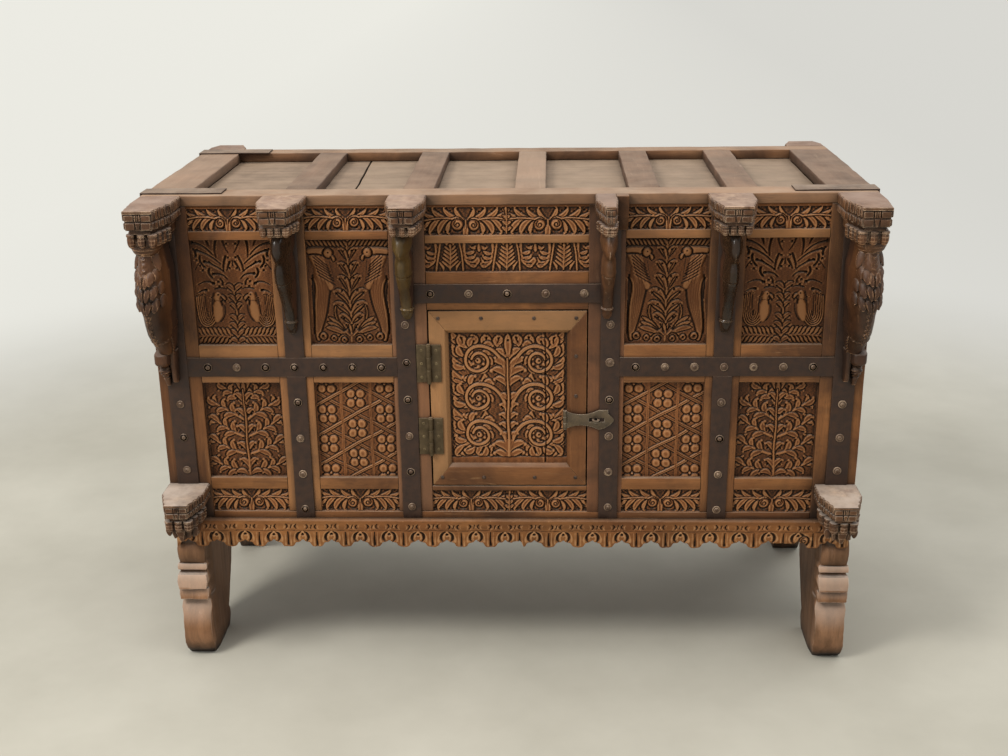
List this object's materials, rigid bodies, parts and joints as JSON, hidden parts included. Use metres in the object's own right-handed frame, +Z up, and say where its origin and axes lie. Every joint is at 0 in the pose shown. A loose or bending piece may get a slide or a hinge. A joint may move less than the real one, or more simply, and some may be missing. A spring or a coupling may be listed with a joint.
{
  "type": "damchiya chest",
  "caption": "Panelled and iron-strapped storage chest on four legs, with a recessed top, bracketed front and one small hinged door closed by a hasp and staple.",
  "frame": {"origin": "on the floor, under the middle of the chest's overall box", "axes": "+X to the right of the front, +Y from the front to the back, +Z up"},
  "size_m": [1.346, 0.694, 0.96],
  "materials": {
    "panel_teak": "carved teak, oiled and dark in the hollows",
    "frame_teak": "planed teak, worn smooth",
    "top_wood": "sun-faded and dusty teak",
    "top_board_wood": "dry rough boards with dust",
    "carcase_wood": "plain sawn wood",
    "leg_wood": "reddish brown hardwood, worn",
    "dark_bracket_wood": "nearly black, greasy and polished by hands",
    "new_bracket_wood": "lighter replaced wood",
    "patch_wood": "pale bare wood",
    "strap_iron": "brown-black forged iron",
    "hinge_iron": "olive brown tarnish",
    "hasp_bronze": "grey-green tarnished brass with bright edges"
  },
  "bodies": {
    "chest": {"apron": "panel_teak", "back_boards": "carcase_wood", "back_legs": "leg_wood", "back_posts": "carcase_wood", "back_rails": "carcase_wood", "bottom_rail": "frame_teak", "bracket_patch": "patch_wood", "centre_friezes": "panel_teak", "centre_rails": "frame_teak", "corner_bracket_left": "leg_wood", "corner_bracket_right": "leg_wood", "corner_corbels": "leg_wood", "corner_straps": "strap_iron", "cross_straps": "strap_iron", "floor_bearers": "carcase_wood", "floor_boards": "carcase_wood", "front_leg_left": "leg_wood", "front_leg_right": "leg_wood", "front_post_left": "frame_teak", "front_post_right": "frame_teak", "front_rails": "frame_teak", "hinge_leaves_fixed": "hinge_iron", "hinge_pins": "hinge_iron", "jamb_bracket_left": "dark_bracket_wood", "jamb_bracket_right": "new_bracket_wood", "jamb_left": "frame_teak", "jamb_right": "frame_teak", "lattice_panel_left": "panel_teak", "lattice_panel_right": "panel_teak", "lintel": "frame_teak", "lower_friezes": "panel_teak", "muntin_bracket_left": "dark_bracket_wood", "muntin_bracket_right": "dark_bracket_wood", "muntins": "frame_teak", "parrot_panel_left": "panel_teak", "parrot_panel_right": "panel_teak", "peacock_panel_left": "panel_teak", "peacock_panel_right": "panel_teak", "rear_capitals": "leg_wood", "side_frame_left": "carcase_wood", "side_frame_right": "carcase_wood", "side_panels": "carcase_wood", "staple": "hasp_bronze", "studs": "strap_iron", "top_back_rail": "top_wood", "top_boards": "top_board_wood", "top_end_rails": "top_wood", "top_front_rail": "top_wood", "top_slats": "top_wood", "tree_panel_left": "panel_teak", "tree_panel_right": "panel_teak", "upper_friezes": "panel_teak", "upright_straps": "strap_iron"},
    "door": {"door_rails": "frame_teak", "door_stiles": "frame_teak", "door_panel": "panel_teak", "hinge_leaves_door": "hinge_iron", "hasp_leaf": "hasp_bronze", "hasp_pin": "hasp_bronze"},
    "hasp": {"hasp_plate": "hasp_bronze"}
  },
  "joints": [
    {"name": "door_swing", "type": "hinge", "parent": "chest", "child": "door", "pos_m": [-0.14975, -0.22, 0.56], "axis": [0, 0, -1], "range_deg": [0, 140]},
    {"name": "hasp_swing", "type": "hinge", "parent": "door", "child": "hasp", "pos_m": [0.108, -0.2195, 0.521], "axis": [0, 0, -1], "range_deg": [0, 170]}
  ]
}
